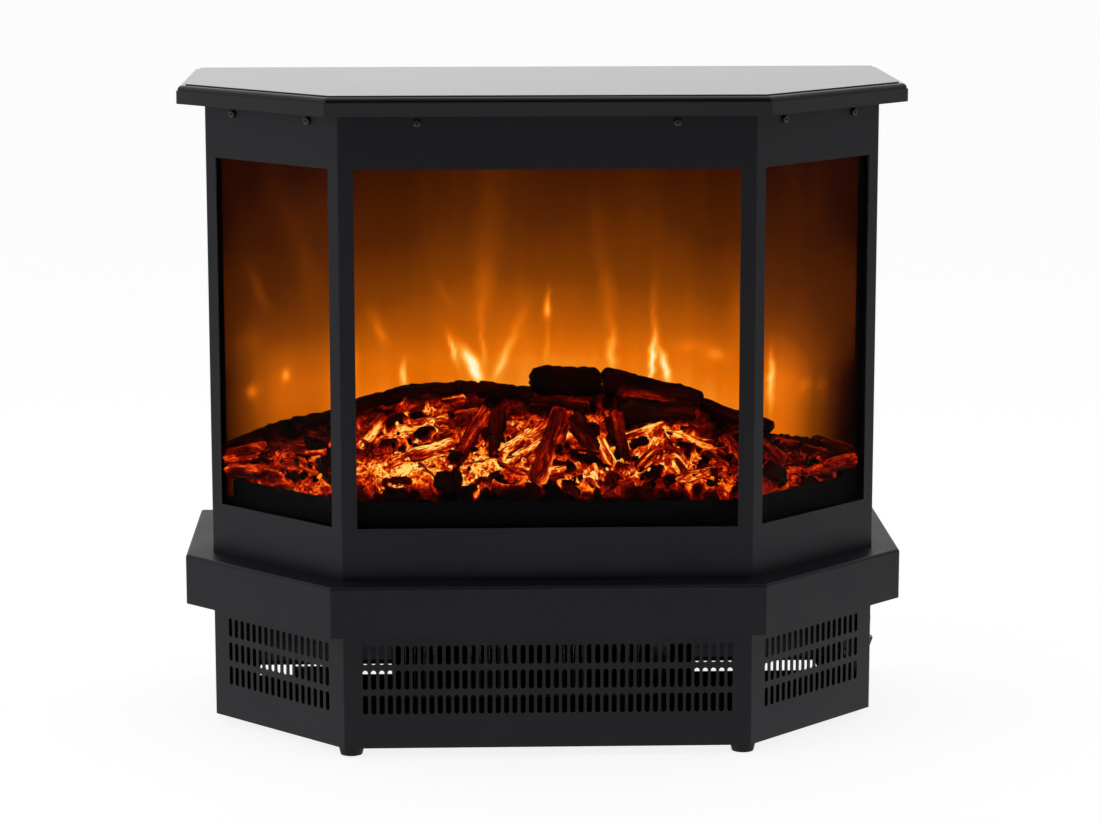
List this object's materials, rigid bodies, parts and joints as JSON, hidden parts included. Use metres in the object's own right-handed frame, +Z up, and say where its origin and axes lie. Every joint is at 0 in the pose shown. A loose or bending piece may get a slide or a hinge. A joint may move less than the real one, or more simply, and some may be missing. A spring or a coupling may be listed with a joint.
{
  "type": "electric fireplace stove",
  "caption": "Free-standing electric fireplace stove with a three-sided glazed bay, moulded mantel, stepped hearth ledge, slotted plinth with fan heater, flame screen and glowing ember bed.",
  "frame": {"origin": "on the floor, under the middle of the stove's bounding box", "axes": "+Z up, -Y out of the front window towards the viewer, +X to the viewer's right"},
  "size_m": [0.6, 0.305, 0.541],
  "materials": {
    "mantel_board": "black lacquered fibreboard, satin to semi-gloss",
    "black_steel": "satin charcoal powder coat on sheet steel",
    "dark_steel": "matt black paint on sheet steel",
    "bare_steel": "zinc plated sheet steel",
    "screw_steel": "black oxide screw",
    "window_glass": "clear tempered glass",
    "foot_rubber": "matt black rubber",
    "ember_resin": "translucent resin painted as charred logs and embers, lit from below",
    "screen_acrylic": "frosted acrylic lit from behind",
    "board": "circuit board",
    "lamp": "light-emitting diode",
    "bright_aluminium": "bright aluminium",
    "black_plastic": "black moulded plastic",
    "rocker_plastic": "gloss black moulded plastic",
    "pale_plastic": "pale terminal moulding",
    "motor_steel": "laminated and plated steel"
  },
  "bodies": {
    "stove": {"access_cover": "black_steel", "back_panel": "black_steel", "base_pan": "black_steel", "blower_motor": "motor_steel", "blower_scroll": "dark_steel", "body_shell": "black_steel", "control_board": "board", "cord_gland": "black_plastic", "cover_screws": "screw_steel", "dimmer_pot": "black_plastic", "ember_bed": "ember_resin", "ember_board": "board", "ember_leds": "lamp", "ember_tray": "dark_steel", "feet": "foot_rubber", "firebox_floor": "dark_steel", "flame_board": "board", "flame_leds": "lamp", "flame_screen": "screen_acrylic", "flame_stencil": "bare_steel", "foot_screws": "bare_steel", "glass_clips": "bare_steel", "glass_front": "window_glass", "glass_left": "window_glass", "glass_right": "window_glass", "hearth_ledge": "black_steel", "heat_shield": "bare_steel", "heater_housing": "dark_steel", "heating_element": "bright_aluminium", "led_rail": "bare_steel", "mantel_brackets": "bare_steel", "mantel_screws": "screw_steel", "mantel_top": "mantel_board", "motor_bracket": "bare_steel", "motor_plate": "dark_steel", "panel_screws": "screw_steel", "plinth_back": "black_steel", "plinth_shell": "black_steel", "rotor_bearing": "black_plastic", "screen_brackets": "dark_steel", "spindle_bearing": "bare_steel", "spindle_motor": "motor_steel", "switch_housings": "black_plastic", "terminal_block": "pale_plastic", "thermal_cutout": "bare_steel", "wood_screws": "bare_steel"},
    "flame_spindle": {"flame_spindle": "bright_aluminium"},
    "blower_rotor": {"blower_rotor": "black_plastic"},
    "power_rocker": {"power_rocker": "rocker_plastic"},
    "low_heat_rocker": {"low_heat_rocker": "rocker_plastic"},
    "high_heat_rocker": {"high_heat_rocker": "rocker_plastic"},
    "dimmer_knob": {"dimmer_knob": "black_plastic", "dimmer_shaft": "bare_steel"}
  },
  "joints": [
    {"name": "flame_spindle_spin", "type": "hinge", "parent": "stove", "child": "flame_spindle", "pos_m": [0, 0.092, 0.215], "axis": [1, 0, 0], "continuous": true},
    {"name": "blower_spin", "type": "hinge", "parent": "stove", "child": "blower_rotor", "pos_m": [0, 0.062, 0.048], "axis": [1, 0, 0], "continuous": true},
    {"name": "power_rocker_tilt", "type": "hinge", "parent": "stove", "child": "power_rocker", "pos_m": [0.276, 0.00801, 0.057], "axis": [0, -1, 0], "range_deg": [0, 20]},
    {"name": "low_heat_rocker_tilt", "type": "hinge", "parent": "stove", "child": "low_heat_rocker", "pos_m": [0.276, 0.03502, 0.057], "axis": [0, -1, 0], "range_deg": [0, 20]},
    {"name": "high_heat_rocker_tilt", "type": "hinge", "parent": "stove", "child": "high_heat_rocker", "pos_m": [0.276, 0.06202, 0.057], "axis": [0, -1, 0], "range_deg": [0, 20]},
    {"name": "dimmer_turn", "type": "hinge", "parent": "stove", "child": "dimmer_knob", "pos_m": [0.2775, 0.10622, 0.057], "axis": [-1, 0, 0], "range_deg": [0, 270]}
  ]
}
